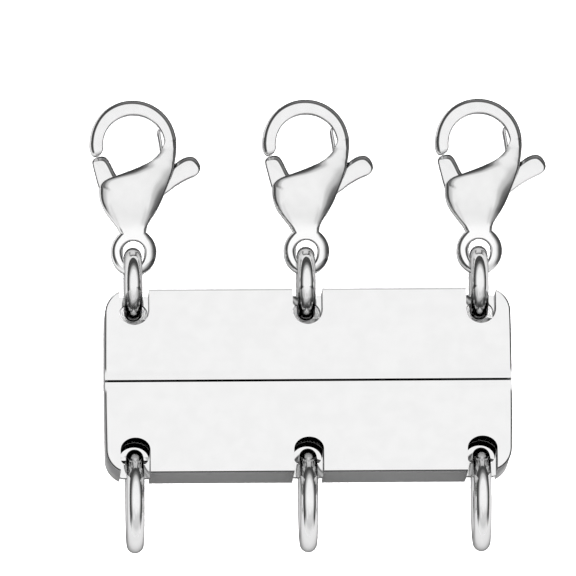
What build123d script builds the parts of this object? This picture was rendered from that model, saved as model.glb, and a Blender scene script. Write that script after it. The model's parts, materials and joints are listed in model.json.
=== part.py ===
from build123d import *
import math
import os

# Three-strand clasp: a two-half bar, three jump rings on each long edge and a lobster claw
# on each upper ring. Millimetres. It lies on the plane Z = 0 with its face to +Z: X runs
# along the bar, +Y points to the claws, and the origin is under the middle of its outline.

# Bar
bar_width = 21.35
half_height = 4.85
bar_thickness = 4.5
corner_radius = 1.3
side_bow = 0.06
rim_round = 0.1
seam_gap = 0.12

# Notches in the long edges, each with a thin wall (web) that a jump ring passes round
end_margin = 1.575
notch_width = 1.56
notch_reach = 1.87
notch_corner = 0.14
web_depth = 2.49
web_thickness = 0.6
web_inset = 0.05
upper_web_height = 0.29
lower_web_height = 0.53

# Magnets
magnet_length = 14.0
magnet_height = 1.6
magnet_thickness = 2.6
magnet_play = 0.03

# Jump rings
upper_wire = 0.94
lower_wire = 0.94
upper_ring_outer = 1.975
lower_ring_outer = 2.735
ring_play = 0.03

# Lobster claw, seen from the front, in a frame with its origin in the eye's hole
hook_rise = 5.86
hook_lean = 0.06
hook_outer = 2.285
hook_wall = 0.66
bore_lean = 0.12
bore_lift = -0.06
hook_base_angle = -4.0
bore_base_angle = -14.0
hook_tip_angle = 193.5
bore_tip_angle = 193.0
tip_round = 0.28
shoulder_round = 0.35
neck_round = 0.2
eye_rim = 1.18
eye_hole = 0.66
eye_flare = 0.2
eye_play = 0.1
rim_lift = 0.15
body_thickness = 2.7
hook_thickness = 1.9
eye_thickness = 1.0
claw_round = 0.2

# Lever, pin and spring of the claw
slot_width = 1.22
lever_thickness = 1.1
lever_round = 0.17
pin_radius = 0.28
pin_bite = 0.3
pin_fit = 0.02
lever_fit = 0.05
spring_thickness = 0.12
spring_width = 0.9
spring_bend = 0.4

# Outline tables of the claw: across as a share of hook_outer, up as a share of hook_rise
body_top = [(0.515, 0.846), (0.185, 0.766), (-0.233, 0.705), (-0.784, 0.624)]
body_left = [(-0.722, 0.530), (-0.617, 0.447), (-0.441, 0.341)]
body_right = [(0.388, 0.338), (0.564, 0.445), (0.718, 0.562), (0.837, 0.669), (0.934, 0.787)]
slot_edge = [
    (-1.28, 0.321), (1.28, 0.321), (1.28, 0.842), (0.991, 0.849), (0.731, 0.887),
    (0.722, 0.953), (0.396, 0.953), (0.088, 0.841), (-1.28, 0.841),
]
nose_edge = [(-0.896, 0.872), (-0.831, 0.889), (-0.705, 0.892), (-0.612, 0.877)]
nose_right = [(-0.551, 0.842), (-0.476, 0.787), (-0.401, 0.731), (-0.198, 0.655)]
tab_top = [(0.529, 0.702), (0.771, 0.766), (0.969, 0.818), (1.216, 0.870)]
tab_end = [(1.361, 0.884), (1.467, 0.867), (1.537, 0.832), (1.560, 0.787), (1.524, 0.750)]
tab_bottom = [(1.432, 0.727), (1.260, 0.696), (1.031, 0.646), (0.855, 0.600), (0.722, 0.553)]
lever_base = [(0.308, 0.442), (-0.044, 0.360), (-0.317, 0.341), (-0.529, 0.404), (-0.670, 0.506)]
nose_left = [(-0.758, 0.586), (-0.833, 0.679), (-0.894, 0.761), (-0.920, 0.836)]
spring_path = [(0.626, 1.123), (0.687, 0.945), (0.639, 0.863), (0.286, 0.728)]
pivot_share = (-0.317, 0.454)
body_rest_share = 0.58

# Thickness of the claw: up as a share of hook_rise, then how far the section has grown from
# the eye's thickness towards the body's and towards the hook's
thickness_rows = [
    (-0.25, 0.00, 0.00), (0.07, 0.02, 0.00), (0.20, 0.27, 0.00), (0.34, 0.69, 0.00),
    (0.50, 0.97, 0.00), (0.67, 0.95, 0.00), (0.84, 0.60, 0.40), (1.04, 0.20, 0.85),
    (1.21, 0.05, 0.96), (1.44, 0.00, 0.95),
]

# Places worked out from the sizes
strand_pitch = bar_width / 2 - end_margin
columns = {"left": -strand_pitch, "middle": 0.0, "right": strand_pitch}
web_front = bar_thickness - web_depth
web_back = web_front - web_thickness
web_middle = (web_front + web_back) / 2
notch_end = half_height - notch_reach
web_outer = half_height - web_inset
upper_bore = upper_ring_outer - upper_wire
lower_bore = lower_ring_outer - lower_wire


def ring_reach(web_height, bore):
    """Distance from the seam to the centre of a ring pulled against its web."""
    return web_outer - web_height - ring_play + math.sqrt(bore**2 - (web_thickness / 2) ** 2)


# The rings stand on the plane and carry the bar, the smaller ones lower: that tilts the bar.
upper_reach = ring_reach(upper_web_height, upper_bore)
lower_reach = ring_reach(lower_web_height, lower_bore)
bar_tilt = math.asin((lower_ring_outer - upper_ring_outer) / (upper_reach + lower_reach))
bar_plane = Plane(
    origin=(0, 0, upper_ring_outer + upper_reach * math.sin(bar_tilt)),
    x_dir=(1, 0, 0),
    z_dir=(0, math.sin(bar_tilt), math.cos(bar_tilt)),
).offset(-web_middle)

# Each claw lies on its body's back and its hook's back, with its eye round the ring's far side.
hook_rest = hook_rise + hook_outer - hook_wall / 2
body_rest = body_rest_share * hook_rise
claw_tilt = math.atan2((body_thickness - hook_thickness) / 2, hook_rest - body_rest)
eye_height = body_rest * math.sin(claw_tilt) + body_thickness / 2 * math.cos(claw_tilt)
eye_gap = upper_ring_outer - upper_wire + eye_hole - eye_play
eye_reach = math.sqrt(eye_gap**2 - (upper_ring_outer - eye_height) ** 2)


def ring_middle(x, reach):
    return bar_plane.from_local_coords(Vector(x, reach, web_middle))


def claw_plane(x):
    ring = ring_middle(x, upper_reach)
    return Plane(
        origin=(x, ring.Y + eye_reach, eye_height),
        x_dir=(1, 0, 0),
        z_dir=(0, math.sin(claw_tilt), math.cos(claw_tilt)),
    )


def on_claw(rows):
    return [(across * hook_outer, up * hook_rise) for across, up in rows]


hook_centre = (hook_lean, hook_rise)
bore_centre = (bore_lean, hook_rise + bore_lift)
bore_radius = hook_outer - hook_wall
pivot = on_claw([pivot_share])[0]
pin_length = slot_width + 2 * pin_bite
round_limit = 0.37 * hook_wall


def bar_half(web_height):
    """One half of the bar with its notched edge to +Y, its back on Z = 0."""
    web_inner = web_outer - web_height
    hole_middle = (notch_end + web_inner) / 2
    hole_half = (web_inner - notch_end) / 2
    side = bar_width / 2 - side_bow

    with BuildSketch() as blank:
        with BuildLine():
            Line((-side, half_height), (side, half_height))
            ThreePointArc((side, half_height), (side + side_bow, 0), (side, -half_height))
            Line((side, -half_height), (-side, -half_height))
            ThreePointArc((-side, -half_height), (-side - side_bow, 0), (-side, half_height))
        make_face()
        fillet(blank.vertices(), corner_radius)
        with Locations((0, seam_gap / 2)):
            Rectangle(
                2 * bar_width, half_height, align=(Align.CENTER, Align.MIN), mode=Mode.INTERSECT
            )

    with BuildSketch() as notched:
        add(blank.sketch)
        with Locations(*[(x, hole_middle) for x in columns.values()]):
            Ellipse(notch_width / 2, hole_half, mode=Mode.SUBTRACT)
            Rectangle(
                notch_width, half_height, align=(Align.CENTER, Align.MIN), mode=Mode.SUBTRACT
            )
        mouths = notched.vertices().filter_by_position(
            Axis.Y, half_height - corner_radius / 2, half_height
        )
        outermost = strand_pitch + notch_width / 2
        fillet([v for v in mouths if abs(v.X) < outermost], notch_corner)

    with BuildSketch() as webbed:
        add(blank.sketch)
        with Locations(*[(x, hole_middle) for x in columns.values()]):
            Ellipse(notch_width / 2, hole_half, mode=Mode.SUBTRACT)
        with Locations(*[(x, web_outer) for x in columns.values()]):
            Rectangle(
                notch_width, half_height, align=(Align.CENTER, Align.MIN), mode=Mode.SUBTRACT
            )

    with BuildPart() as half:
        with BuildSketch():
            add(notched.sketch)
        extrude(amount=web_back)
        with BuildSketch(Plane.XY.offset(web_back)):
            add(webbed.sketch)
        extrude(amount=web_thickness)
        with BuildSketch(Plane.XY.offset(web_front)):
            add(notched.sketch)
        extrude(amount=web_depth)
        faces = half.faces().filter_by(Axis.Z).sort_by(Axis.Z)
        edges = faces[0].edges() + faces[-1].edges()
        seam = edges.filter_by_position(Axis.Y, seam_gap / 4, seam_gap)
        fillet([edge for edge in edges if edge not in seam], rim_round)
        with BuildSketch(Plane.XZ.offset(-seam_gap / 2)):
            with Locations((0, bar_thickness / 2)):
                Rectangle(magnet_length + 2 * magnet_play, magnet_thickness + 2 * magnet_play)
        extrude(amount=-(magnet_height + magnet_play), mode=Mode.SUBTRACT)
    return half


def magnet():
    with BuildPart() as bar:
        with BuildSketch(Plane.XZ.offset(-seam_gap / 2)):
            with Locations((0, bar_thickness / 2)):
                Rectangle(magnet_length, magnet_thickness)
        extrude(amount=-magnet_height)
    return bar


def jump_ring(outer, wire):
    with BuildPart() as ring:
        Torus(outer - wire / 2, wire / 2, rotation=(0, 90, 0))
    return ring


def claw_outline():
    with BuildSketch() as outline:
        with BuildLine():
            outer = CenterArc(
                hook_centre, hook_outer, hook_base_angle, hook_tip_angle - hook_base_angle
            )
            bore = CenterArc(
                bore_centre, bore_radius, bore_base_angle, bore_tip_angle - bore_base_angle
            )
            tip = Line(outer @ 1, bore @ 1)
            top = Spline(bore @ 0, *on_claw(body_top), tangents=[-(bore % 0), (-1, -0.45)])
            left = Spline(
                top @ 1,
                *on_claw(body_left),
                (-0.55 * eye_rim, rim_lift + 0.7 * eye_rim),
                tangents=[(0.1, -1), (0.1, -1)],
            )
            right = Spline(
                (0.52 * eye_rim, rim_lift + 0.7 * eye_rim),
                *on_claw(body_right),
                outer @ 0,
                tangents=[(0.02, 1), outer % 0],
            )
            Line(left @ 1, right @ 0)
        make_face()
        with Locations((0, rim_lift)):
            Circle(eye_rim)
        necks = outline.vertices().filter_by_position(Axis.Y, eye_rim / 2, eye_rim + rim_lift)
        fillet(necks, neck_round)
        fillet(outline.vertices().sort_by_distance(top @ 1)[0], shoulder_round)
        fillet(outline.vertices().sort_by_distance(tip @ 0)[0], tip_round)
        fillet(outline.vertices().sort_by_distance(tip @ 1)[0], tip_round)
    return outline


def claw_body():
    deep = 2 * body_thickness
    rows = [
        (
            up * hook_rise,
            (
                eye_thickness
                + body * (body_thickness - eye_thickness)
                + hook * (hook_thickness - eye_thickness)
            )
            / 2,
        )
        for up, body, hook in thickness_rows
    ]
    with BuildPart() as claw:
        with BuildSketch(Plane.XY.offset(-deep / 2)):
            add(claw_outline().sketch)
        extrude(amount=deep)
        with BuildSketch(Plane.YZ.offset(-2 * hook_outer)):
            with BuildLine():
                face = Spline(*rows)
                back = Spline(*[(y, -z) for y, z in rows])
                Line(face @ 0, back @ 0)
                Line(face @ 1, back @ 1)
            make_face()
        extrude(amount=4 * hook_outer, mode=Mode.INTERSECT)
        skins = claw.faces().sort_by(Axis.Z)
        fillet(skins[0].edges() + skins[-1].edges(), min(claw_round, round_limit))

        with BuildSketch(Plane.XZ):
            with BuildLine():
                lip = eye_hole + eye_flare
                half_wall = eye_thickness / 2
                wall = ThreePointArc((lip, -half_wall), (eye_hole, 0), (lip, half_wall))
                Polyline(wall @ 1, (lip, deep), (0, deep), (0, -deep), (lip, -deep), wall @ 0)
            make_face()
        revolve(axis=Axis.Z, mode=Mode.SUBTRACT)

        with BuildSketch(Plane.XY.offset(-slot_width / 2)):
            with BuildLine():
                Polyline(*on_claw(slot_edge), close=True)
            make_face()
        extrude(amount=slot_width, mode=Mode.SUBTRACT)
        with BuildSketch(Plane.XY.offset(-pin_length / 2 - pin_fit)):
            with Locations(pivot):
                Circle(pin_radius + pin_fit)
        extrude(amount=pin_length + 2 * pin_fit, mode=Mode.SUBTRACT)
    return claw


def claw_lever():
    rim = tab_top + tab_end + tab_bottom + lever_base + nose_left + nose_edge + nose_right
    with BuildPart() as lever:
        with BuildSketch(Plane.XY.offset(-lever_thickness / 2)):
            with BuildLine():
                Spline(*on_claw(rim), periodic=True)
            make_face()
        extrude(amount=lever_thickness)
        skins = lever.faces().filter_by(Axis.Z)
        fillet(skins.edges(), lever_round)
        with BuildSketch(Plane.XY.offset(-lever_thickness)):
            with Locations(pivot):
                Circle(pin_radius + lever_fit)
        extrude(amount=2 * lever_thickness, mode=Mode.SUBTRACT)
    return lever


def claw_pin():
    with BuildPart() as pin:
        with BuildSketch(Plane.XY.offset(-pin_length / 2)):
            with Locations(pivot):
                Circle(pin_radius)
        extrude(amount=pin_length)
    return pin


def claw_spring():
    with BuildPart() as spring:
        with BuildSketch(Plane.XY.offset(-spring_width / 2)):
            with BuildLine() as path:
                FilletPolyline(*on_claw(spring_path), radius=spring_bend)
            trace(path.line, spring_thickness)
        extrude(amount=spring_width)
    return spring


# The lower half is the upper one turned half a turn about the bar's normal.
lower_plane = Plane(bar_plane.origin, x_dir=(-1, 0, 0), z_dir=bar_plane.z_dir)
pieces = {}


def place(name, builder, plane):
    piece = builder.part.moved(plane.location)
    piece.label = name
    pieces[name] = piece


place("upper_bar", bar_half(upper_web_height), bar_plane)
place("lower_bar", bar_half(lower_web_height), lower_plane)
place("upper_magnet", magnet(), bar_plane)
place("lower_magnet", magnet(), lower_plane)

upper_ring = jump_ring(upper_ring_outer, upper_wire)
lower_ring = jump_ring(lower_ring_outer, lower_wire)
claw = claw_body()
lever = claw_lever()
pin = claw_pin()
spring = claw_spring()
for column, x in columns.items():
    place(f"upper_ring_{column}", upper_ring, Plane(ring_middle(x, upper_reach)))
    place(f"lower_ring_{column}", lower_ring, Plane(ring_middle(x, -lower_reach)))
    frame = claw_plane(x)
    place(f"claw_{column}", claw, frame)
    place(f"lever_{column}", lever, frame)
    place(f"pin_{column}", pin, frame)
    place(f"spring_{column}", spring, frame)

# The origin goes under the middle of the whole outline.
outline = Compound(list(pieces.values())).bounding_box()
to_origin = Location((-outline.center().X, -outline.center().Y, -outline.min.Z))
print("moved by", to_origin.position, "outline", outline.size)

os.makedirs("parts", exist_ok=True)
for name, piece in pieces.items():
    export_step(piece.moved(to_origin), f"parts/{name}.step")
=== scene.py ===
import json
import math
from functools import partial

import bmesh
import bpy
from mathutils import Matrix, Vector


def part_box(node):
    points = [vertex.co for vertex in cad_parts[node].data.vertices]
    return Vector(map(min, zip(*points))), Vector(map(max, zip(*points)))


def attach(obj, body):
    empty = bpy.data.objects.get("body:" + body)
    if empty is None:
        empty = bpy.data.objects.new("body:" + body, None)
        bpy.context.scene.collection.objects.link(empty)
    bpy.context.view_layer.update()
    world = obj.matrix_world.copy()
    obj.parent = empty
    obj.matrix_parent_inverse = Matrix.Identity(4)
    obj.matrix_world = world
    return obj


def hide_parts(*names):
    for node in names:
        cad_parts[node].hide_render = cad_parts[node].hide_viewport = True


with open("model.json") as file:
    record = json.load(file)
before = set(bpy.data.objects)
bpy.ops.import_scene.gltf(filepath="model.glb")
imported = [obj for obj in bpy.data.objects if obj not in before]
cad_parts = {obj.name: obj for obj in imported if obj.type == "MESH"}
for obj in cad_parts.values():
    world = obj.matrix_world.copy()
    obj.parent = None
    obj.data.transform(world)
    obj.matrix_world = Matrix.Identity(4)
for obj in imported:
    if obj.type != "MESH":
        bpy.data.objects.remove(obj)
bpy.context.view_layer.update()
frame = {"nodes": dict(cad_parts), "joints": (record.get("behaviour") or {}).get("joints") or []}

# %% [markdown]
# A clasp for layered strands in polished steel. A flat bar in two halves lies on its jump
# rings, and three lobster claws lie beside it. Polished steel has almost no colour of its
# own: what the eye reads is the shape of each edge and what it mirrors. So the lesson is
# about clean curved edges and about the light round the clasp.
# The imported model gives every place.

MM = 0.001
COLUMNS = ("left", "middle", "right")
joints = {joint["name"]: joint for joint in frame["joints"]}


def node_middle(node):
    low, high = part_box(node)
    return (low + high) / 2


def node_size(node):
    low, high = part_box(node)
    return high - low


# %% [markdown]
# Modelling by script is modelling by hand with the hands written down. A few habits keep it
# tidy: nothing stays selected from the step before, a modifier is applied as soon as it is
# set, and a finished piece has its place in its mesh and its object at the origin.

# %% Helpers for modelling
MERGE_WITHIN = 0.0005


def deselect():
    if bpy.context.object and bpy.context.object.mode != "OBJECT":
        bpy.ops.object.mode_set(mode="OBJECT")
    bpy.ops.object.select_all(action="DESELECT")


def make_active(piece):
    deselect()
    piece.select_set(True)
    bpy.context.view_layer.objects.active = piece


def named(name):
    piece = bpy.context.object
    piece.name = name
    piece.data.name = name
    return piece


def apply_modifier(piece, kind, **settings):
    make_active(piece)
    modifier = piece.modifiers.new(kind.lower(), kind)
    for key, value in settings.items():
        setattr(modifier, key, value)
    bpy.ops.object.modifier_apply(modifier=modifier.name)


def cut(piece, tool, operation="DIFFERENCE"):
    apply_modifier(piece, "BOOLEAN", object=tool, operation=operation, solver="EXACT")
    bpy.data.objects.remove(tool, do_unlink=True)


def put(piece, place):
    make_active(piece)
    piece.matrix_world = place
    bpy.ops.object.transform_apply(location=True, rotation=True, scale=True)


def copied(piece, name):
    twin = piece.copy()
    twin.data = piece.data.copy()
    twin.name = name
    twin.data.name = name
    bpy.context.scene.collection.objects.link(twin)
    return twin


def smooth(piece, angle):
    make_active(piece)
    bpy.ops.object.shade_smooth_by_angle(angle=math.radians(angle))


def outwards(piece):
    """Merges points that lie together and turns every face outwards."""
    make_active(piece)
    bpy.ops.object.mode_set(mode="EDIT")
    bpy.ops.mesh.select_all(action="SELECT")
    bpy.ops.mesh.remove_doubles(threshold=MERGE_WITHIN * MM)
    bpy.ops.mesh.normals_make_consistent(inside=False)
    bpy.ops.object.mode_set(mode="OBJECT")


def box_tool(low, high):
    """A plain box between two corners, in mm, to cut with."""
    deselect()
    bpy.ops.mesh.primitive_cube_add(size=1)
    low, high = Vector(low) * MM, Vector(high) * MM
    tool = named("tool")
    tool.scale = high - low
    tool.location = (low + high) / 2
    bpy.ops.object.transform_apply(location=True, rotation=True, scale=True)
    return tool


# %% [markdown]
# The camera comes first, because every later choice is judged through it. The photo looks
# down on the clasp almost squarely, from far away, so nothing narrows with distance: the lens
# is very long. It is tipped a little towards the strands' rings, which is why the bar's lower
# wall shows as a thin strip.

# %% Camera
CAMERA_PITCH = math.radians(4.2)
CAMERA_YAW = math.radians(1.8)
CAMERA_ROLL = math.radians(0.33)
CAMERA_DISTANCE = 1.0
SENSOR_WIDTH = 36
PICTURE_PIXELS = 576
PIXELS_PER_MM = 19.0
PICTURE_WIDTH = PICTURE_PIXELS / PIXELS_PER_MM * MM
AIM = Vector((-1.595, 2.06, 1.505)) * MM

towards = Vector((-math.sin(CAMERA_YAW), -math.sin(CAMERA_PITCH), 0))
towards.z = math.sqrt(1 - towards.length_squared)
right = (Vector((1, 0, 0)) - towards.x * towards).normalized()
up = towards.cross(right)
turned_right = right * math.cos(CAMERA_ROLL) - up * math.sin(CAMERA_ROLL)
turned_up = right * math.sin(CAMERA_ROLL) + up * math.cos(CAMERA_ROLL)

bpy.ops.object.camera_add()
camera = named("camera")
camera.data.sensor_width = SENSOR_WIDTH
camera.data.lens = SENSOR_WIDTH * CAMERA_DISTANCE / PICTURE_WIDTH
camera.data.dof.use_dof = False
camera.matrix_world = Matrix.Translation(AIM + towards * CAMERA_DISTANCE) @ (
    Matrix((turned_right, turned_up, towards)).transposed().to_4x4()
)
bpy.context.scene.camera = camera
print("lens, mm:", round(camera.data.lens, 1))

# %% [markdown]
# Polished steel needs something to mirror. A large soft light hangs over the clasp, the room
# behind it and at its sides is dark near the horizon, and the front is open. Those are the
# three tones of the photo: pale faces, dark lines along the edges that turn towards the room,
# and pale grey on the edges that face the viewer. A small weak lamp at the front left adds a
# glint. The room is built in the world's shader from the direction of each ray, so its lights
# are as soft as they are in a tent of cloth.

# %% Light
# the room's tones, by the height of the ray: 0 is straight down, 1 is straight up
DARK_SIDES = (
    (0.42, 0.35), (0.52, 0.08), (0.66, 0.07), (0.73, 0.20), (0.80, 0.66), (0.88, 1.05),
    (1.0, 1.10),
)
OPEN_FRONT = ((0.45, 1.05), (0.58, 0.95), (0.74, 0.74), (0.88, 0.78), (0.96, 1.04), (1.0, 1.10))
# where the front ends and the sides begin, by the bearing: 0 is the front, 1 is the back
FRONT_TO_SIDES = ((0.11, 0.0), (0.28, 1.0))
HORIZON_TILT = 0.05
LAMP_TOWARDS = Vector((-0.44, -0.55, 0.71)).normalized()
LAMP_EDGE = ((0.975, 0.0), (0.992, 0.15))
SEEN_WHITE = (1, 1, 1, 1)
LEAST_LEVEL = 0.001
# a colour mix node's two colours and its result, by the numbers of their sockets
MIX_A, MIX_B, MIX_RESULT = 6, 7, 2


def open_nodes(owner, clear=True):
    """Makes a world's or a material's node tree the one that new nodes go into."""
    global tree
    owner.use_nodes = True
    tree = owner.node_tree
    if clear:
        tree.nodes.clear()


def node(kind, **settings):
    made = tree.nodes.new(kind)
    for key, value in settings.items():
        setattr(made, key, value)
    return made


def feed(made, *inputs):
    """Fills a node's inputs in order, with a link or with a value, and returns the node."""
    for socket, source in zip(made.inputs, inputs):
        if source is None:
            continue
        if isinstance(source, bpy.types.NodeSocket):
            tree.links.new(source, socket)
        else:
            socket.default_value = source
    return made


def maths(operation, *inputs):
    return feed(node("ShaderNodeMath", operation=operation), *inputs).outputs[0]


def ramp(source, *stops):
    """A grey tone that goes through the stops, each a position and a tone."""
    made = feed(node("ShaderNodeValToRGB"), source)
    points = made.color_ramp.elements
    made.color_ramp.interpolation = "EASE"
    while len(points) < len(stops):
        points.new(0.5)
    for point, (position, tone) in zip(points, stops):
        point.position = position
        point.color = (tone, tone, tone, 1)
    return made.outputs["Color"]


def as_share(source):
    """A value from -1 to 1 as a share from 0 to 1."""
    return maths("ADD", maths("MULTIPLY", source, 0.5), 0.5)


world = bpy.data.worlds.new("studio")
bpy.context.scene.world = world
open_nodes(world)
ray = node("ShaderNodeTexCoord").outputs["Generated"]
ray_x, ray_y, ray_z = feed(node("ShaderNodeSeparateXYZ"), ray).outputs
squares = [maths("MULTIPLY", part, part) for part in (ray_x, ray_y)]
level = maths("SQRT", maths("ADD", *squares))
bearing = maths("DIVIDE", ray_y, maths("MAXIMUM", level, LEAST_LEVEL))
height = as_share(maths("ADD", ray_z, maths("MULTIPLY", ray_x, HORIZON_TILT)))

beside = ramp(as_share(bearing), *FRONT_TO_SIDES)
room = feed(node("ShaderNodeMix", data_type="RGBA"), beside)
tree.links.new(ramp(height, *OPEN_FRONT), room.inputs[MIX_A])
tree.links.new(ramp(height, *DARK_SIDES), room.inputs[MIX_B])

facing_lamp = feed(node("ShaderNodeVectorMath", operation="DOT_PRODUCT"), ray)
facing_lamp.inputs[1].default_value = LAMP_TOWARDS
lamp = ramp(facing_lamp.outputs["Value"], *LAMP_EDGE)
lit = feed(node("ShaderNodeVectorMath", operation="ADD"), room.outputs[MIX_RESULT], lamp)

seen = node("ShaderNodeLightPath").outputs["Is Camera Ray"]
chosen = feed(node("ShaderNodeMix", data_type="RGBA"), seen)
tree.links.new(lit.outputs[0], chosen.inputs[MIX_A])
chosen.inputs[MIX_B].default_value = SEEN_WHITE
background = feed(node("ShaderNodeBackground"), chosen.outputs[MIX_RESULT])
output = node("ShaderNodeOutputWorld")
tree.links.new(background.outputs[0], output.inputs["Surface"])
bpy.context.scene.view_settings.view_transform = "Standard"
print("world nodes:", len(tree.nodes))

# %% [markdown]
# The floor is a plain white sheet. A photographer lights it so strongly that it turns pure
# white in the picture and every soft shadow on it is lost, while the steel mirrors it as an
# ordinary white. The light path node keeps those two apart: the camera sees the sheet several
# times brighter than the steel does. Only the deepest holes stay dark.

# %% Floor
FLOOR_SIZE = 2.0
FLOOR_MIRRORED = (1.25, 1.25, 1.25, 1)
FLOOR_SEEN = (4.5, 4.5, 4.5, 1)

deselect()
bpy.ops.mesh.primitive_plane_add(size=FLOOR_SIZE)
floor = named("floor")
floor_paint = bpy.data.materials.new("white_sheet")
open_nodes(floor_paint)
seen = node("ShaderNodeLightPath").outputs["Is Camera Ray"]
sheet_tone = feed(node("ShaderNodeMix", data_type="RGBA"), seen)
sheet_tone.inputs[MIX_A].default_value = FLOOR_MIRRORED
sheet_tone.inputs[MIX_B].default_value = FLOOR_SEEN
sheet = feed(node("ShaderNodeBsdfDiffuse"), sheet_tone.outputs[MIX_RESULT])
output = node("ShaderNodeOutputMaterial")
tree.links.new(sheet.outputs[0], output.inputs["Surface"])
floor.data.materials.append(floor_paint)
print("floor:", FLOOR_SIZE, "m")

# %% [markdown]
# One steel, several finishes. The bar is buffed flat on a wheel and keeps a faint waviness,
# the cast claws are tumbled and a little softer, and the wire of the rings is drawn and shows
# faint lines along its length. All are the same bright metal with a different roughness and a
# different bump. The roughness itself is mottled, because nothing is buffed evenly. The cast
# steel's colour is painted brighter towards the claws' eyes, a painted highlight that makes
# their faces come out pale.

# %% Steel
# the tint of every metal's reflection where it grazes: painted shade, dark lines along edges and
# walls seen edge-on
PAINTED_EDGE_SHADE = 0.3
NOISE_LOW, NOISE_HIGH = 0.3, 0.7
MOTTLE_TONE = 0.97
MOTTLE_DETAIL, WAVE_DETAIL = 4, 1
# painted highlight on the cast steel: up to which Y, in mm, its colour is painted brighter,
# where that ends, and how much brighter
EYE_PAINTED_HIGHLIGHT = (4.9, 6.0, 1.12)


def steel(name, tone, roughness, mottle, mottle_size, wave, wave_size, painted_highlight=()):
    """A polished metal, with sizes in mm: mottle is how far the roughness wanders, and wave
    is the depth of the bump."""
    metal = bpy.data.materials.new(name)
    open_nodes(metal, clear=False)
    shader = tree.nodes["Principled BSDF"]
    shader.inputs["Metallic"].default_value = 1.0
    # painted shade: the reflection at grazing angles is tinted dark
    shader.inputs["Specular Tint"].default_value = (PAINTED_EDGE_SHADE, PAINTED_EDGE_SHADE, PAINTED_EDGE_SHADE, 1)
    coords = feed(node("ShaderNodeMapping"), node("ShaderNodeTexCoord").outputs["Object"])
    patches = feed(node("ShaderNodeTexNoise"), coords.outputs[0])
    patches.inputs["Scale"].default_value = 1 / (mottle_size * MM)
    patches.inputs["Detail"].default_value = MOTTLE_DETAIL
    fac = patches.outputs["Fac"]
    spread = node("ShaderNodeMapRange")
    feed(spread, fac, NOISE_LOW, NOISE_HIGH, roughness - mottle, roughness + mottle)
    tree.links.new(spread.outputs[0], shader.inputs["Roughness"])
    shade = ramp(fac, (NOISE_LOW, tone * MOTTLE_TONE), (NOISE_HIGH, tone))
    # painted highlight: the colour is scaled up towards the eyes' end of the claw, along Y
    if painted_highlight:
        highlight_to, plain_from, gain = painted_highlight
        across = feed(node("ShaderNodeSeparateXYZ"), coords.outputs[0]).outputs["Y"]
        end = node("ShaderNodeMapRange", interpolation_type="SMOOTHSTEP")
        feed(end, across, plain_from * MM, highlight_to * MM, 1.0, gain)
        scaled = feed(node("ShaderNodeVectorMath", operation="SCALE"), shade)
        tree.links.new(end.outputs[0], scaled.inputs["Scale"])
        shade = scaled.outputs[0]
    tree.links.new(shade, shader.inputs["Base Color"])
    waves = feed(node("ShaderNodeTexNoise"), coords.outputs[0])
    waves.inputs["Scale"].default_value = 1 / (wave_size * MM)
    waves.inputs["Detail"].default_value = WAVE_DETAIL
    bump = node("ShaderNodeBump")
    bump.inputs["Strength"].default_value = 1.0
    bump.inputs["Distance"].default_value = wave * MM
    tree.links.new(waves.outputs["Fac"], bump.inputs["Height"])
    tree.links.new(bump.outputs[0], shader.inputs["Normal"])
    return metal


# name, tone, roughness, mottle, its size, wave, its size
buffed_steel = steel("buffed_steel", 0.82, 0.06, 0.02, 0.9, 0.012, 4.0)
cast_steel = steel("cast_steel", 0.81, 0.09, 0.03, 0.5, 0.004, 0.8, EYE_PAINTED_HIGHLIGHT)
wire_steel = steel("wire_steel", 0.83, 0.07, 0.02, 0.3, 0.001, 0.2)
strip_steel = steel("strip_steel", 0.74, 0.16, 0.04, 0.2, 0.001, 0.1)
hidden_steel = steel("hidden_steel", 0.62, 0.30, 0.06, 0.3, 0.002, 0.2)
print("metals:", [metal.name for metal in bpy.data.materials if metal.name.endswith("steel")])


def paint(piece, metal):
    piece.data.materials.clear()
    piece.data.materials.append(metal)


for name in (*(f"pin_{column}" for column in COLUMNS), "upper_magnet", "lower_magnet"):
    paint(frame["nodes"][name], hidden_steel)


def finish_piece(piece, metal, body, replaced):
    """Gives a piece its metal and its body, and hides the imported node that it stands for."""
    paint(piece, metal)
    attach(piece, body)
    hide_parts(replaced)
    print(f"{piece.name}: {len(piece.data.polygons)} faces, rides on {body}")


# %% [markdown]
# A jump ring is wire bent round a rod. In edit mode that is a circle for the wire's section,
# spun once round the ring's axis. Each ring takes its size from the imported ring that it
# stands for: the box's width is the wire, and half its height is the ring's radius.

# %% Jump rings
WIRE_SIDES = 32
RING_STEPS = 120
RING_SMOOTH = 60


def jump_ring(name, packed_ring):
    size = node_size(packed_ring)
    wire = size.x / 2
    turn = size.z / 2 - wire
    deselect()
    bpy.ops.mesh.primitive_circle_add(vertices=WIRE_SIDES, radius=wire, location=(0, turn, 0))
    ring = named(name)
    bpy.ops.object.transform_apply(location=True, rotation=True, scale=True)
    bpy.ops.object.mode_set(mode="EDIT")
    bpy.ops.mesh.select_all(action="SELECT")
    bpy.ops.mesh.spin(steps=RING_STEPS, angle=math.tau, center=(0, 0, 0), axis=(1, 0, 0))
    bpy.ops.object.mode_set(mode="OBJECT")
    outwards(ring)
    put(ring, Matrix.Translation(node_middle(packed_ring)))
    smooth(ring, RING_SMOOTH)
    return ring


for column in COLUMNS:
    for half in ("upper", "lower"):
        packed_ring = f"{half}_ring_{column}"
        ring = jump_ring(f"{half}_loop_{column}", packed_ring)
        finish_piece(ring, wire_steel, f"{half}_half", packed_ring)

# %% [markdown]
# The bar's two halves are one plate with three notches, made twice. Every size has a name
# here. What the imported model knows, such as how far the strands lie apart, is read from it.

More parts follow.
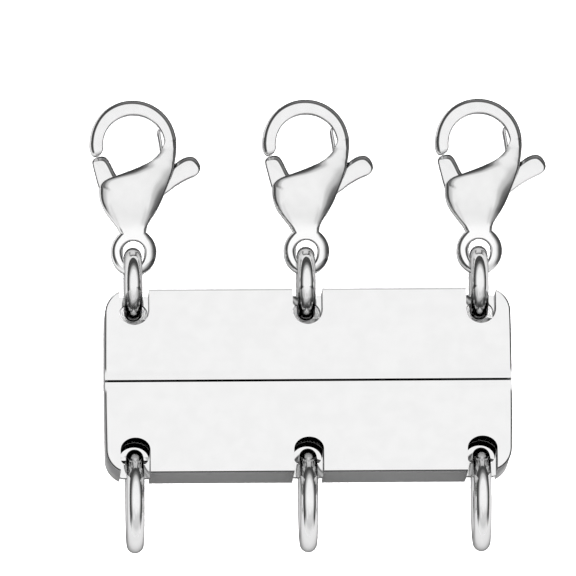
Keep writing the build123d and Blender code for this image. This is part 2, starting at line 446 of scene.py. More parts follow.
# %% The plate's sizes, in mm
BAR_WIDTH = 21.35
HALF_HEIGHT = 4.85
BAR_THICKNESS = 4.5
CORNER_RADIUS = 1.22
SIDE_BOW = 0.06
SEAM_GAP = 0.12
# the radius of every broken edge, and the width and the depth of the face's sloped rim
RIM_ROUND = 0.06
RIM_WIDTH = 0.08
RIM_DEPTH = 0.06
NOTCH_WIDTH = 1.56
NOTCH_REACH = 1.87
WEB_DEPTH = 2.49
WEB_THICKNESS = 0.6
WEB_INSET = 0.05
# the hole beside each web is blind: its floor is this thick and reaches this far outwards
HOLE_FLOOR = 0.42
FLOOR_END = 3.80
# how far a tool that cuts sticks out of the plate
PAST = 1
WEB_HEIGHT = {"upper": 0.29, "lower": 0.53}
RING_PLAY = 0.03
STRAND_PITCH = (node_middle("lower_ring_right").x - node_middle("lower_ring_left").x) / 2 / MM
WEB_FRONT = BAR_THICKNESS - WEB_DEPTH
WEB_BACK = WEB_FRONT - WEB_THICKNESS
NOTCH_END = HALF_HEIGHT - NOTCH_REACH
print("strands", round(STRAND_PITCH, 2), "mm apart; web", round(WEB_BACK, 2), "to", WEB_FRONT)

# %% [markdown]
# The plate starts as a cube at its size. Its two outer corners are rounded with the bevel
# operator, and rows of cuts across it let its ends be bowed outwards. A ground edge is not
# quite flat: the face is inset by a narrow rim, and the rim's outer points are lowered. That
# slope mirrors another part of the room than the face does, which draws the fine line round
# the bar. The edge along the seam stays up, because the two halves meet there.

# %% The blank: a cube with two round corners, bowed ends and a sloped rim
CORNER_SEGMENTS = 16
BOW_ROWS = 12
FACES_UP = 0.5


def plate_blank(name):
    size = Vector((BAR_WIDTH - 2 * SIDE_BOW, HALF_HEIGHT - SEAM_GAP / 2, BAR_THICKNESS))
    deselect()
    bpy.ops.mesh.primitive_cube_add(size=1)
    blank = named(name)
    blank.scale = size * MM
    blank.location = Vector((0, (HALF_HEIGHT + SEAM_GAP / 2) / 2, BAR_THICKNESS / 2)) * MM
    bpy.ops.object.transform_apply(location=True, rotation=True, scale=True)
    bpy.ops.object.mode_set(mode="EDIT")
    bpy.ops.mesh.select_all(action="DESELECT")
    mesh = bmesh.from_edit_mesh(blank.data)
    for edge in mesh.edges:
        a, b = (vertex.co for vertex in edge.verts)
        upright = abs(a.z - b.z) > BAR_THICKNESS * MM / 2
        if upright and min(a.y, b.y) > HALF_HEIGHT * MM / 2:
            edge.select_set(True)
    bmesh.update_edit_mesh(blank.data)
    bpy.ops.mesh.bevel(offset=CORNER_RADIUS * MM, segments=CORNER_SEGMENTS, affect="EDGES")
    for row in range(1, BOW_ROWS):
        bpy.ops.mesh.select_all(action="SELECT")
        y = (SEAM_GAP / 2 + (HALF_HEIGHT - CORNER_RADIUS) * row / BOW_ROWS) * MM
        bpy.ops.mesh.bisect(plane_co=(0, y, 0), plane_no=(0, 1, 0))
    bpy.ops.mesh.select_mode(type="FACE")
    bpy.ops.mesh.select_all(action="DESELECT")
    mesh = bmesh.from_edit_mesh(blank.data)
    rim = [
        vertex.index for vertex in mesh.verts
        if vertex.co.z > BAR_THICKNESS * MM / 2 and vertex.co.y > SEAM_GAP * MM
        and any(face.normal.z < FACES_UP for face in vertex.link_faces)
    ]
    for face in mesh.faces:
        if face.normal.z > FACES_UP:
            face.select_set(True)
    bmesh.update_edit_mesh(blank.data)
    bpy.ops.mesh.inset(thickness=RIM_WIDTH * MM, use_boundary=True)
    mesh = bmesh.from_edit_mesh(blank.data)
    mesh.verts.ensure_lookup_table()
    for index in rim:
        mesh.verts[index].co.z -= RIM_DEPTH * MM
    bmesh.update_edit_mesh(blank.data)
    bpy.ops.mesh.select_mode(type="VERT")
    bpy.ops.object.mode_set(mode="OBJECT")
    for vertex in blank.data.vertices:
        if abs(vertex.co.x) > (BAR_WIDTH / 2 - CORNER_RADIUS) * MM:
            bow = SIDE_BOW * MM * (1 - (vertex.co.y / (HALF_HEIGHT * MM)) ** 2)
            vertex.co.x += math.copysign(bow, vertex.co.x)
    return blank


# %% [markdown]
# A notch is where a jump ring hangs. Each is cut from the front and from the back, so that a
# thin wall, the web, stays between the two cuts and the ring can go round it. An oval hole is
# sunk beside the web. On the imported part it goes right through. Here it keeps a thin floor at
# the back, because a notch is dark inside, and the white sheet would show through the hole.
# The bevel modifier then breaks the sharp edges, because no real edge is without a radius.

# %% The notches, the webs and the broken edges
HOLE_SIDES = 48
RIM_SEGMENTS = 4
BREAK_FROM = 60


def hole_tool(x, web_inner, low, high):
    """An oval prism between two heights, as long as from the notch's end to the web."""
    deselect()
    bpy.ops.mesh.primitive_cylinder_add(vertices=HOLE_SIDES, radius=0.5, depth=1)
    tool = named("tool")
    tool.scale = Vector((NOTCH_WIDTH, web_inner - NOTCH_END, high - low)) * MM
    tool.location = Vector((x, (web_inner + NOTCH_END) / 2, (low + high) / 2)) * MM
    bpy.ops.object.transform_apply(location=True, rotation=True, scale=True)
    return tool


def plate(name, web_height):
    blank = plate_blank(name)
    web_outer = HALF_HEIGHT - WEB_INSET
    web_inner = web_outer - web_height
    over = HALF_HEIGHT + PAST
    middle = (web_inner + NOTCH_END) / 2
    for x in (-STRAND_PITCH, 0, STRAND_PITCH):
        low, high = x - NOTCH_WIDTH / 2, x + NOTCH_WIDTH / 2
        cut(blank, hole_tool(x, web_inner, HOLE_FLOOR, BAR_THICKNESS + PAST))
        for start, bottom, top in (
            (middle, WEB_FRONT, BAR_THICKNESS + PAST),
            (middle, HOLE_FLOOR, WEB_BACK),
            (FLOOR_END, -PAST, WEB_BACK),
            (web_outer, -PAST, BAR_THICKNESS + PAST),
        ):
            cut(blank, box_tool((low, start, bottom), (high, over, top)))
    outwards(blank)
    apply_modifier(
        blank, "BEVEL", width=RIM_ROUND * MM, segments=RIM_SEGMENTS, limit_method="ANGLE",
        angle_limit=math.radians(BREAK_FROM), use_clamp_overlap=True,
    )
    return blank


# %% [markdown]
# The clasp lies on its rings, so the bar is tilted a little. The axis along which its halves
# pull apart gives that tilt. The bar's place follows from its jump ring, which hangs against
# the web: the ring's bore and the web's thickness say how far the seam lies from its middle.

# %% Both halves in their places
PLATE_SMOOTH = 30
bar_away = Vector(joints["halves_apart"]["axis"])
bar_up = Vector((0, bar_away.z, -bar_away.y)).normalized()
bar_along = Vector((1, 0, 0))
RING_BORE = node_size("upper_ring_left").z / 2 - node_size("upper_ring_left").x
UPPER_REACH = (
    HALF_HEIGHT - WEB_INSET - WEB_HEIGHT["upper"] - RING_PLAY
    + math.sqrt((RING_BORE / MM) ** 2 - (WEB_THICKNESS / 2) ** 2)
)
ring_place = node_middle("upper_ring_middle")
seam_place = ring_place + bar_away * UPPER_REACH * MM - bar_up * (WEB_FRONT + WEB_BACK) / 2 * MM

for half, sign in (("upper", 1), ("lower", -1)):
    piece = plate(f"{half}_plate", WEB_HEIGHT[half])
    turned = Matrix((sign * bar_along, -sign * bar_away, bar_up)).transposed().to_4x4()
    put(piece, Matrix.Translation(seam_place) @ turned)
    smooth(piece, PLATE_SMOOTH)
    finish_piece(piece, buffed_steel, f"{half}_half", f"{half}_bar")

# %% [markdown]
# The lobster claw is cast, so its form flows: a round eye, a narrow neck, a broad domed body,
# then an arm that turns into the hook. All of that is one skin over a row of sections. Each
# station says where the section's two ends lie and how thick it is there. It also says how
# far in from each end the dome begins to fall, and how much it has fallen at the edge.

# %% The claw's stations, in mm, in the claw's own plane with the origin in its eye
# columns: x and y of the inner or left end, x and y of the outer or right end, half
# thickness, reach and fall of the dome at the inner end, reach and fall at the outer end
INNER, OUTER, HALF, INNER_DOME, OUTER_DOME = 0, 2, 4, 5, 7
BODY_STATIONS = (
    (-0.56, 1.00, 0.68, 0.99, 0.68, 0.15, 0.02, 0.30, 0.10),
    (-0.70, 1.17, 0.75, 1.25, 0.735, 0.18, 0.03, 0.36, 0.13),
    (-0.78, 1.36, 0.76, 1.43, 0.78, 0.22, 0.05, 0.42, 0.15),
    (-0.91, 1.54, 0.84, 1.60, 0.845, 0.28, 0.07, 0.50, 0.18),
    (-1.11, 1.77, 0.97, 1.80, 0.925, 0.36, 0.10, 0.62, 0.22),
    (-1.29, 2.00, 1.13, 2.03, 1.01, 0.46, 0.14, 0.78, 0.28),
    (-1.46, 2.23, 1.27, 2.25, 1.09, 0.58, 0.18, 0.96, 0.34),
    (-1.61, 2.49, 1.40, 2.49, 1.17, 0.72, 0.23, 1.14, 0.41),
    (-1.70, 2.73, 1.52, 2.73, 1.24, 0.86, 0.28, 1.32, 0.48),
    (-1.75, 2.98, 1.62, 2.96, 1.30, 1.00, 0.33, 1.48, 0.54),
    (-1.77, 3.20, 1.71, 3.20, 1.35, 1.12, 0.37, 1.62, 0.58),
    (-1.76, 3.37, 1.79, 3.40, 1.385, 1.20, 0.38, 1.72, 0.60),
    (-1.74, 3.51, 1.87, 3.60, 1.40, 1.20, 0.37, 1.78, 0.61),
    (-1.69, 3.62, 1.95, 3.79, 1.405, 1.16, 0.34, 1.80, 0.61),
    (-1.61, 3.71, 2.02, 3.98, 1.405, 1.10, 0.30, 1.80, 0.61),
    (-1.51, 3.80, 2.08, 4.17, 1.40, 1.04, 0.25, 1.80, 0.60),
    (-1.37, 3.89, 2.14, 4.34, 1.385, 0.98, 0.19, 1.80, 0.585),
    (-1.13, 3.99, 2.18, 4.49, 1.36, 0.92, 0.13, 1.78, 0.56),
    (-0.78, 4.11, 2.22, 4.64, 1.33, 0.88, 0.09, 1.75, 0.53),
    (-0.44, 4.24, 2.25, 4.79, 1.295, 0.85, 0.07, 1.70, 0.50),
    (-0.12, 4.36, 2.27, 4.93, 1.26, 0.82, 0.06, 1.65, 0.48),
    (0.24, 4.51, 2.30, 5.07, 1.23, 0.78, 0.055, 1.60, 0.46),
    (0.56, 4.65, 2.32, 5.21, 1.205, 0.70, 0.05, 1.52, 0.45),
    (0.87, 4.81, 2.34, 5.36, 1.18, 0.60, 0.05, 1.42, 0.43),
    (1.12, 4.98, 2.35, 5.50, 1.15, 0.50, 0.05, 1.30, 0.41),
    (1.31, 5.16, 2.365, 5.64, 1.11, 0.42, 0.05, 1.18, 0.37),
    (1.45, 5.34, 2.37, 5.77, 1.055, 0.36, 0.05, 1.04, 0.30),
    (1.55, 5.52, 2.37, 5.89, 0.995, 0.31, 0.05, 0.84, 0.21),
    (1.63, 5.70, 2.365, 6.01, 0.945, 0.28, 0.05, 0.60, 0.13),
)
HOOK_MIDDLE = Vector((0.055, 5.885))
HOOK_RADIUS = 2.315
BORE_MIDDLE = Vector((0.105, 5.79))
BORE_RADIUS = 1.624
HOOK_HALF = 0.91
HOOK_DOME = (0.28, 0.05, 0.34, 0.075)
# the hook's and its tip's ends, in degrees round the bore, and the steps between them
HOOK_FROM, HOOK_TO, TIP_TO = 4.0, 185.5, 197.8
HOOK_STATIONS = 46
TIP_STATIONS = 9
# the tip: where across the hook it lies, the turn that rounds it, its last width and how
# much thinner it gets
TIP_SHARE = 0.62
TIP_TURN = 86
TIP_NARROW = 0.12
TIP_THINNER = 0.22
BETWEEN = 3
EASING = 6


def hook_station(angle, narrow=1.0, half=HOOK_HALF):
    """A station of the hook: one end on the bore's circle and one on the outer circle."""
    way = Vector((math.cos(math.radians(angle)), math.sin(math.radians(angle))))
    inner = BORE_MIDDLE + way * BORE_RADIUS
    outer = HOOK_MIDDLE + way * HOOK_RADIUS
    tip = inner + (outer - inner) * TIP_SHARE
    inner, outer = tip + (inner - tip) * narrow, tip + (outer - tip) * narrow
    return (*inner, *outer, half, *(value * narrow for value in HOOK_DOME))


def smooth_rows(rows, between):
    """A smooth curve through rows of numbers, with steps between each two."""
    filled = []
    for number in range(len(rows) - 1):
        before, here = rows[max(number - 1, 0)], rows[number]
        there, after = rows[number + 1], rows[min(number + 2, len(rows) - 1)]
        for step in range(between):
            t = step / between
            filled.append(tuple(
                b + (c - a) * t / 2 + (2 * a - 5 * b + 4 * c - d) * t * t / 2
                + (3 * b - a - 3 * c + d) * t ** 3 / 2
                for a, b, c, d in zip(before, here, there, after)
            ))
    return filled + [rows[-1]]


def eased(rows, passes):
    """The same rows with their unevenness taken out; the first and the last stay."""
    for _ in range(passes):
        rows = [rows[0]] + [
            tuple((a + 2 * b + c) / 4 for a, b, c in zip(before, here, after))
            for before, here, after in zip(rows, rows[1:], rows[2:])
        ] + [rows[-1]]
    return rows


hook_rows = [
    hook_station(HOOK_FROM + (HOOK_TO - HOOK_FROM) * step / HOOK_STATIONS)
    for step in range(HOOK_STATIONS)
]
body_rows = smooth_rows(list(BODY_STATIONS) + hook_rows[:2], BETWEEN)
claw_rows = eased(body_rows[:-1] + hook_rows[1:], EASING)
for step in range(TIP_STATIONS + 1):
    turn = math.radians(TIP_TURN) * step / TIP_STATIONS
    angle = HOOK_TO + (TIP_TO - HOOK_TO) * math.sin(turn)
    narrow = TIP_NARROW + (1 - TIP_NARROW) * math.cos(turn)
    claw_rows.append(hook_station(angle, narrow, HOOK_HALF - TIP_THINNER * (1 - math.cos(turn))))
print("sections of the claw:", len(claw_rows))

# %% [markdown]
# The band that rolls over the edge is what the eye follows. On the sides that face up and to
# the right it is a wide, nearly flat chamfer that mirrors the dark room. On the left it keeps
# turning, so it shows one dark line and then the pale floor. Below and inside the hook it is
# only a broken edge. A table gives its width in mm and how far it is a chamfer, from 0 to 1,
# for each direction that an edge can face, and the sections look it up.

# %% The rolled bands
# the strips of a band, from the face to the wall: their lean in degrees where it is a chamfer
# and where it is a roll, and their share of its length
CHAMFER = (27, 38, 29, 30, 40, 66)
ROLL = (24, 34, 41, 56, 68, 80)
BAND_LENGTHS = (0.05, 0.23, 0.22, 0.20, 0.24, 0.06)
# the claw is tilted, so a band that faces its far end leans this much less, in degrees
CLAW_LEAN = 7
# columns: direction in degrees, width in mm, share of chamfer
CLAW_BAND = (
    (-60, 0.07, 0.6), (-30, 0.07, 0.9), (-14, 0.12, 1.0), (0, 0.23, 1.0), (45, 0.25, 1.0),
    (105, 0.22, 1.0), (130, 0.21, 0.6), (155, 0.25, 0.1), (190, 0.25, 0.0), (240, 0.12, 0.2),
    (300, 0.07, 0.6),
)
CHEEK_BAND = (
    (60, 0.05, 0.8), (120, 0.05, 0.8), (145, 0.14, 0.2), (175, 0.24, 0.0), (200, 0.20, 0.0),
    (225, 0.14, 0.1), (300, 0.07, 0.4), (420, 0.06, 0.8),
)
BORE_BAND = ((0, 0.05, 0.6), (360, 0.05, 0.6))
EYE_BAND = (
    (-60, 0.09, 0.8), (0, 0.10, 1.0), (50, 0.12, 1.0), (90, 0.10, 0.5), (135, 0.24, 0.0),
    (200, 0.27, 0.0), (250, 0.22, 0.0), (300, 0.09, 0.8),
)
EYE_HOLE_BAND = (
    (0, 0.20, 0.6), (50, 0.12, 0.4), (90, 0.05, 0.0), (130, 0.10, 0.6), (180, 0.14, 0.9),
    (225, 0.06, 0.3), (270, 0.03, 0.0), (315, 0.10, 0.4), (360, 0.20, 0.6),
)
# the back's band is a plain roll, and the back is a little nearer than the face
BACK_WIDTH = 0.14
BACK_SHARE = 0.965


def looked_up(table, normal):
    """The two values that a table gives for an edge that faces along normal."""
    turn = math.degrees(math.atan2(normal.y, normal.x))
    while turn < table[0][0]:
        turn += 360
    for low, high in zip(table, table[1:]):
        if low[0] <= turn <= high[0]:
            share = (turn - low[0]) / (high[0] - low[0])
            return low[1] + (high[1] - low[1]) * share, low[2] + (high[2] - low[2]) * share
    return table[-1][1:]


def band_steps(width, chamfer, facing=0.0, start=0.0):
    """Inset and depth of the points of a band, from the face's line down to the wall."""
    leans = [
        math.radians(max(start, rolled + (flat - rolled) * chamfer - CLAW_LEAN * facing))
        for flat, rolled in zip(CHAMFER, ROLL)
    ]
    across = sum(length * math.cos(lean) for lean, length in zip(leans, BAND_LENGTHS))
    inset, depth = width, 0.0
    steps = [(inset, depth)]
    for lean, length in zip(leans, BAND_LENGTHS):
        inset -= width * length * math.cos(lean) / across
        depth += width * length * math.sin(lean) / across
        steps.append((max(inset, 0.0), depth))
    return steps


# %% [markdown]
# A section is a closed row of points: the face, a band, the wall, a band at the back, the
# back, and the same up the other side. The camera is tilted, so a wall that faces it would
# show as a strip. In the photo such walls lean away and only a thread of them shows, so each
# wall steps back as it goes down. The skin itself is a circle of points that is extruded from
# each section to the next.

# %% The skin over the stations
FACE_POINTS = 19
BACK_POINTS = 5
# the most of a section's length that one band may take
ROOM_SHARE = 0.38
# how much a wall steps back for each mm of its height, towards the front and at the left,
# how much of it still shows, and how soon the step fades on edges that turn sideways
SIGHT_LEAN = 0.166
SIDE_LEAN = 0.04
SIGHT_LEFT = 0.05
SIGHT_FADE = 2.5


def sight_lean(normal, drop, pull=0.0):
    """How far a wall below an edge steps back, so that a thread of it shows and no more."""
    facing_front = max(pull, min(1.0, max(0.0, 0.5 - SIGHT_FADE * normal.y)))
    sideways = SIDE_LEAN * drop * max(0.0, -normal.x)
    return Vector((sideways, max(0.0, SIGHT_LEAN * drop - SIGHT_LEFT) * facing_front))


def edge_points(end, inwards, normal, half, fall, dome, table, room, pull):
    """Front band, wall and back band at one end of a section, from the face to the back."""
    points = []
    width, chamfer = looked_up(table, normal)
    width = min(width, room)
    reach, drop = dome
    # the band starts no flatter than the dome ends, which is the slope of its square fall
    start = math.degrees(math.atan(2 * drop / reach * max(0.0, 1 - width / reach)))
    height = half - fall(end + inwards * width)
    for inset, depth in band_steps(width, chamfer, normal.y, start):
        spot = end + inwards * inset
        points.append(Vector((*spot, height - depth)))
    back = half * BACK_SHARE
    edge_height = points[-1].z
    for inset, depth in reversed(band_steps(min(BACK_WIDTH, room), 0.0)):
        spot = end + inwards * inset + sight_lean(normal, edge_height + back - depth, pull)
        points.append(Vector((*spot, depth - back)))
    return points


def pair(row, first):
    """Two neighbouring columns of a station: a point, or a dome's reach and fall."""
    return row[first:first + 2]


def section_points(row, normals, tables, fall, pull):
    """The points of one section, in mm, in order round it."""
    inner, outer, half = Vector(pair(row, INNER)), Vector(pair(row, OUTER)), row[HALF]
    across = (outer - inner).normalized()
    room = (outer - inner).length * ROOM_SHARE
    inner_edge, outer_edge = (
        edge_points(end, inwards, normal, half, fall, pair(row, dome), table, room, pull)
        for end, inwards, normal, dome, table in (
            (inner, across, normals[0], INNER_DOME, tables[0]),
            (outer, -across, normals[1], OUTER_DOME, tables[1]),
        )
    )
    face = []
    for step in range(1, FACE_POINTS):
        share = (1 - math.cos(math.pi * step / FACE_POINTS)) / 2
        spot = inner_edge[0].xy.lerp(outer_edge[0].xy, share)
        face.append(Vector((*spot, half - fall(spot))))
    back = [
        outer_edge[-1].lerp(inner_edge[-1], step / BACK_POINTS) for step in range(1, BACK_POINTS)
    ]
    return face + outer_edge + back + inner_edge[::-1]


def rail_normals(rows, closed):
    """Which way the inner and the outer edge face at each station."""
    normals = []
    last = len(rows) - 1
    for number, row in enumerate(rows):
        before = rows[number - 1] if number or closed else row
        after = rows[(number + 1) % len(rows)] if number < last or closed else row
        across = Vector(pair(row, OUTER)) - Vector(pair(row, INNER))
        both = []
        for end, sign in ((INNER, -1), (OUTER, 1)):
            run = Vector(pair(after, end)) - Vector(pair(before, end))
            normal = Vector((run.y, -run.x)).normalized()
            both.append(normal if normal.dot(across) * sign > 0 else -normal)
        normals.append(both)
    return normals


def extruded(name, loops, closed=False):
    """A mesh through loops of points, in mm: one is drawn and extruded to each next one."""
    sides = len(loops[0])
    fill = "NOTHING" if closed else "NGON"
    deselect()
    bpy.ops.mesh.primitive_circle_add(vertices=sides, radius=MM, fill_type=fill)
    piece = named(name)
    for vertex, point in zip(piece.data.vertices, loops[0]):
        vertex.co = point * MM
    bpy.ops.object.mode_set(mode="EDIT")
    bpy.ops.mesh.select_all(action="SELECT")
    for loop in loops[1:]:
        if closed:
            bpy.ops.mesh.extrude_edges_move()
        else:
            bpy.ops.mesh.extrude_region_move()
        mesh = bmesh.from_edit_mesh(piece.data)
        mesh.verts.ensure_lookup_table()
        for number, point in enumerate(loop):
            mesh.verts[len(mesh.verts) - sides + number].co = point * MM
        bmesh.update_edit_mesh(piece.data)
    bpy.ops.object.mode_set(mode="OBJECT")
    outwards(piece)
    return piece


def skin(name, rows, tables, fall, pulls, closed=False):
    """A closed skin over the sections of a table's rows."""
    stations = zip(rows, rail_normals(rows, closed), tables, pulls)
    sections = [
        section_points(row, normals, both, partial(fall, number), pull)
        for number, (row, normals, both, pull) in enumerate(stations)
    ]
    if closed:
        sections.append(sections[0])
    return extruded(name, sections, closed)


# %% [markdown]
# The dome falls with the distance from the nearest edge, not along the sections, so that its
# shade runs along the edges all the way round the body, as in the photo.

# %% The dome of the claw
# how many rows before and after its own a point looks at for the nearest edge
NEAR = 40
LEAST_RUN = 1e-9


def rail_fall(number, point, end, dome):
    """How far the dome has fallen at a point because of one edge."""
    nearest, drop = math.inf, 0.0
    rows = claw_rows[max(0, number - NEAR):number + NEAR]
    for before, after in zip(rows, rows[1:]):
        start = Vector(pair(before, end))
        run = Vector(pair(after, end)) - start
        along = (point - start).dot(run) / max(run.length_squared, LEAST_RUN)
        along = min(1.0, max(0.0, along))
        distance = (start + run * along - point).length
        if distance < nearest:
            nearest = distance
            reach, most = (
                a + (b - a) * along for a, b in zip(pair(before, dome), pair(after, dome))
            )
            drop = most * max(0.0, 1 - distance / reach) ** 2
    return drop


def claw_fall(number, point):
    inner = rail_fall(number, point, INNER, INNER_DOME)
    return inner + rail_fall(number, point, OUTER, OUTER_DOME)


# %% [markdown]
# The eye is the same kind of skin, closed round a ring: its inner ends lie on the throat, with
# a wide flare, and its outer ends on the rim. Its face climbs towards the neck. The slot for
# the lever is then cut out of the body from its own outline, so that it opens to the left, to
# the top and to the right, and leaves the arm whole.

# %% Eye, slot and the finished claw
EYE_MIDDLE = Vector((0.048, 0.152))
EYE_RIM = 1.22
# columns: direction in degrees, reach and fall of the dome in mm
EYE_DOME = (
    (-90, 0.08, 0.02), (-60, 0.40, 0.15), (0, 0.60, 0.29), (40, 0.56, 0.26), (78, 0.24, 0.07),
    (100, 0.08, 0.02), (270, 0.08, 0.02),
)
THROAT_MIDDLE = Vector((0.05, 0.18))
THROAT_SIDE, THROAT_ABOVE, THROAT_BELOW = 0.565, 0.56, 0.86
THROAT_DOME = (0.05, 0.0)
EYE_HALF, EYE_RISE = 0.50, 0.19
EYE_STATIONS = 96
SLOT_WIDTH = 1.19
SLOT_OUTLINE = (
    (-2.92, 2.45), (-1.31, 2.45), (-1.25, 2.27), (-1.12, 2.04), (-1.00, 1.88), (0.50, 1.88),
    (0.80, 2.02), (0.95, 2.12), (2.92, 2.12), (2.92, 4.93), (2.26, 4.98), (1.67, 5.20),
    (1.65, 5.58), (0.91, 5.58), (0.20, 4.93), (-2.92, 4.93),
)
# the inner edge is a cheek up to this many stations before the body's end, then the bore
BORE_STATIONS = 5
TURNING = (len(BODY_STATIONS) - BORE_STATIONS) * BETWEEN
# how far round the hook's tip, in mm, the wall steps back on every side
TIP_PULL = 1.2
CLAW_SMOOTH = 40


def prism(outline, depth):
    """A flat outline, in mm, given a depth on both sides of the claw's plane, to cut with."""
    deselect()
    bpy.ops.mesh.primitive_circle_add(vertices=len(outline), radius=MM, fill_type="NGON")
    tool = named("tool")
    for vertex, (x, y) in zip(tool.data.vertices, outline):
        vertex.co = Vector((x, y, -depth / 2)) * MM
    bpy.ops.object.mode_set(mode="EDIT")
    bpy.ops.mesh.select_all(action="SELECT")
    bpy.ops.mesh.extrude_region_move(TRANSFORM_OT_translate={"value": (0, 0, depth * MM)})
    bpy.ops.object.mode_set(mode="OBJECT")
    outwards(tool)
    return tool


def eye_fall(number, point):
    out = point - EYE_MIDDLE
    reach, most = looked_up(EYE_DOME, out)
    return most * max(0.0, 1 - max(0.0, EYE_RIM - out.length) / reach) ** 2 - EYE_RISE * point.y


def eye():
    """The eye: round outside, its throat a little longer below, where the ring pulls."""
    rows = []
    for step in range(EYE_STATIONS):
        turn = math.tau * step / EYE_STATIONS
        way = Vector((math.cos(turn), math.sin(turn)))
        length = THROAT_ABOVE if way.y > 0 else THROAT_BELOW
        inner = THROAT_MIDDLE + Vector((way.x * THROAT_SIDE, way.y * length))
        outer = EYE_MIDDLE + way * EYE_RIM
        rows.append((*inner, *outer, EYE_HALF, *THROAT_DOME, *looked_up(EYE_DOME, way)))
    tables = [(EYE_HOLE_BAND, EYE_BAND)] * EYE_STATIONS
    return skin("eye", rows, tables, eye_fall, [0.0] * EYE_STATIONS, closed=True)


def claw_shell():
    """The claw's body with its eye, and the lever's slot cut out of it."""
    tables = [
        (CHEEK_BAND if number < TURNING else BORE_BAND, CLAW_BAND)
        for number in range(len(claw_rows))
    ]
    inner_ends = [Vector(pair(row, INNER)) for row in claw_rows]
    pulls = [
        max(0.0, 1 - (end - inner_ends[-1]).length / TIP_PULL) if number > TURNING else 0.0
        for number, end in enumerate(inner_ends)
    ]
    shell = skin("claw_shell", claw_rows, tables, claw_fall, pulls)
    cut(shell, eye(), "UNION")
    cut(shell, prism(SLOT_OUTLINE, SLOT_WIDTH))
    outwards(shell)
    smooth(shell, CLAW_SMOOTH)
    return shell


shell_master = claw_shell()
print("claw faces:", len(shell_master.data.polygons))

# %% [markdown]
# The lever and the spring strip are stamped from sheet: flat face, rolled edges. Each has an
# outline, a smooth closed curve through a few points that is turned into a loop of mesh. The
# loop is extruded again and again, each time a little further out and down, along the same
# kind of band as on the claw. The face's own loop is eased, so that it stays round where the
# outline turns sharply.

# %% Lever and spring strip
LEVER_HALF = 0.55
# from the hook's side over the thumb tab, back along the lower edge, round the pin, up to
# the nose and down again
LEVER_OUTLINE = (
    (1.21, 4.11), (1.76, 4.50), (2.01, 4.66), (2.20, 4.79), (2.37, 4.92), (2.58, 5.07),
    (2.81, 5.19), (3.03, 5.24), (3.20, 5.23), (3.36, 5.15), (3.50, 4.99), (3.60, 4.76),
    (3.615, 4.54), (3.55, 4.37), (3.41, 4.23), (3.17, 4.11), (2.90, 3.99), (2.58, 3.82),
    (2.26, 3.62), (2.00, 3.42), (1.65, 3.17), (0.70, 2.59), (-0.10, 2.11), (-0.72, 2.00),
    (-1.21, 2.37), (-1.54, 2.97), (-1.71, 3.39),
    (-1.81, 3.68), (-1.91, 4.06), (-2.01, 4.46), (-2.07, 4.72), (-2.10, 4.88), (-2.08, 5.04),
    (-1.95, 5.16), (-1.77, 5.235), (-1.58, 5.26), (-1.41, 5.23), (-1.27, 5.12), (-1.14, 4.90),
    (-1.02, 4.65), (-0.92, 4.43), (-0.77, 4.18), (-0.45, 3.84), (0.30, 3.62),
)
LEVER_BAND = (
    (0, 0.14, 0.9), (30, 0.25, 1.0), (60, 0.29, 1.0), (95, 0.28, 1.0), (125, 0.24, 0.9),
    (155, 0.12, 0.4), (185, 0.08, 0.2), (225, 0.06, 0.3), (270, 0.05, 0.6), (320, 0.06, 0.8),
    (360, 0.14, 0.9),
)
SPRING_PATH = (
    (1.44, 6.62), (1.455, 6.42), (1.49, 6.20), (1.53, 5.96), (1.56, 5.70), (1.57, 5.50),
    (1.54, 5.28), (1.46, 5.06), (1.30, 4.88), (0.66, 4.28),
)
SPRING_HALF = 0.45
SPRING_THICKNESS = 0.14
SPRING_BAND = ((0, 0.045, 1.0), (360, 0.045, 1.0))
SPRING_BACK = 0.03
CURVE_STEPS = 5
FACE_EASING = 14


def outline_points(outline):
    """The points of a smooth closed curve through an outline, in mm."""
    curve = bpy.data.curves.new("outline", "CURVE")
    spline = curve.splines.new("BEZIER")
    spline.bezier_points.add(len(outline) - 1)
    for point, (x, y) in zip(spline.bezier_points, outline):
        point.co = (x, y, 0)
        point.handle_left_type = point.handle_right_type = "AUTO"
    spline.use_cyclic_u = True
    spline.resolution_u = CURVE_STEPS
    drawn = bpy.data.objects.new("outline", curve)
    bpy.context.scene.collection.objects.link(drawn)
    make_active(drawn)
    bpy.ops.object.convert(target="MESH")
    drawn = bpy.context.object
    points = [vertex.co.xy.copy() for vertex in drawn.data.vertices]
    bpy.data.objects.remove(drawn, do_unlink=True)
    area = sum(a.x * b.y - b.x * a.y for a, b in zip(points, points[1:] + points[:1]))
    return points if area > 0 else points[::-1]


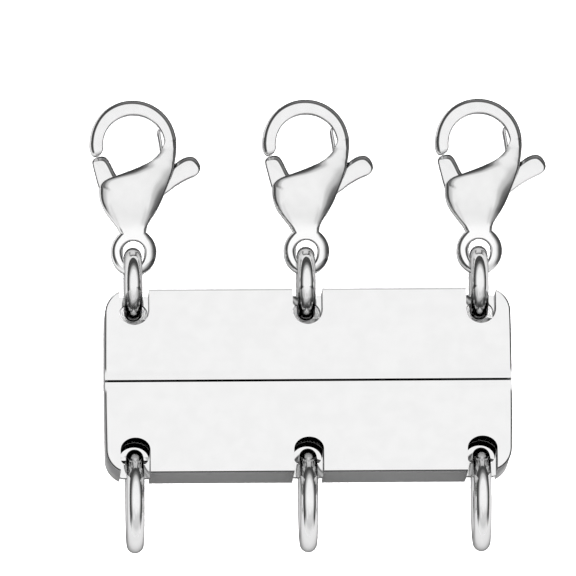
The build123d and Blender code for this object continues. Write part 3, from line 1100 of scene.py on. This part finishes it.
def stamped(name, outline, half, table, easing, back_band):
    """Sheet cut to an outline, with a rolled band round its face and a plain broken back."""
    loop = outline_points(outline)
    sides = len(loop)
    normals, bands = [], []
    for number, point in enumerate(loop):
        run = loop[(number + 1) % sides] - loop[number - 1]
        normals.append(Vector((run.y, -run.x)).normalized())
        bands.append(looked_up(table, normals[-1]))
    face = [point - normal * width for point, normal, (width, _) in zip(loop, normals, bands)]
    for _ in range(easing):
        face = [
            (face[number - 1] + face[number] * 2 + face[(number + 1) % sides]) / 4
            for number in range(sides)
        ]
    columns = []
    for point, normal, (width, chamfer), rim in zip(loop, normals, bands, face):
        column = []
        for inset, depth in band_steps(width, chamfer, normal.y):
            spot = point.lerp(rim, inset / width)
            column.append(Vector((*spot, half - depth)))
        edge_height = column[-1].z
        for inset, depth in reversed(band_steps(back_band, 0.0)):
            spot = point.lerp(rim, min(1.0, inset / width))
            if easing:
                spot += sight_lean(normal, edge_height + half - depth)
            column.append(Vector((*spot, depth - half)))
        columns.append(column)
    piece = extruded(name, list(zip(*columns)))
    smooth(piece, CLAW_SMOOTH)
    return piece


def strip_outline(path, thickness):
    """Both sides of a strip that follows a path, as one closed outline."""
    points = [Vector(point) for point in path]
    left, right = [], []
    for before, here, after in zip(points[:1] + points, points, points[1:] + points[-1:]):
        run = (after - before).normalized()
        side = Vector((-run.y, run.x)) * thickness / 2
        left.append(here + side)
        right.append(here - side)
    start = points[0] - (points[1] - points[0]).normalized() * thickness / 2
    return left + right[::-1] + [start]


lever_master = stamped(
    "lever_master", LEVER_OUTLINE, LEVER_HALF, LEVER_BAND, FACE_EASING, BACK_WIDTH
)
spring_outline = strip_outline(SPRING_PATH, SPRING_THICKNESS)
spring_master = stamped(
    "spring_master", spring_outline, SPRING_HALF, SPRING_BAND, 0, SPRING_BACK
)
print("lever faces:", len(lever_master.data.polygons))
print("spring faces:", len(spring_master.data.polygons))

# %% [markdown]
# Three claws, three levers and three springs are copies of one each. The lever's hinge in
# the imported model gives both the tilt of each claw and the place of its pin, and from the
# pin the claw's own plane is found.

# %% Claws, levers and springs in their places
# the pin's middle in the claw's own plane, in mm
PIVOT = Vector((-0.724, 2.660, 0))

for column in COLUMNS:
    hinge = joints[f"lever_{column}_hinge"]
    face = -Vector(hinge["axis"])
    side = Vector((1, 0, 0))
    onward = face.cross(side)
    turned = Matrix((side, onward, face)).transposed()
    origin = Vector(hinge["pos_m"]) - turned @ (PIVOT * MM)
    place = Matrix.Translation(origin) @ turned.to_4x4()
    for master, name, metal, body, slot in (
        (shell_master, "claw", cast_steel, "upper_half", "claw"),
        (lever_master, "lever", cast_steel, f"lever_{column}", "lever"),
        (spring_master, "spring", strip_steel, "upper_half", "spring"),
    ):
        piece = copied(master, f"{name}_skin_{column}")
        put(piece, place)
        finish_piece(piece, metal, body, f"{name}_{column}")

for master in (shell_master, lever_master, spring_master):
    bpy.data.objects.remove(master, do_unlink=True)
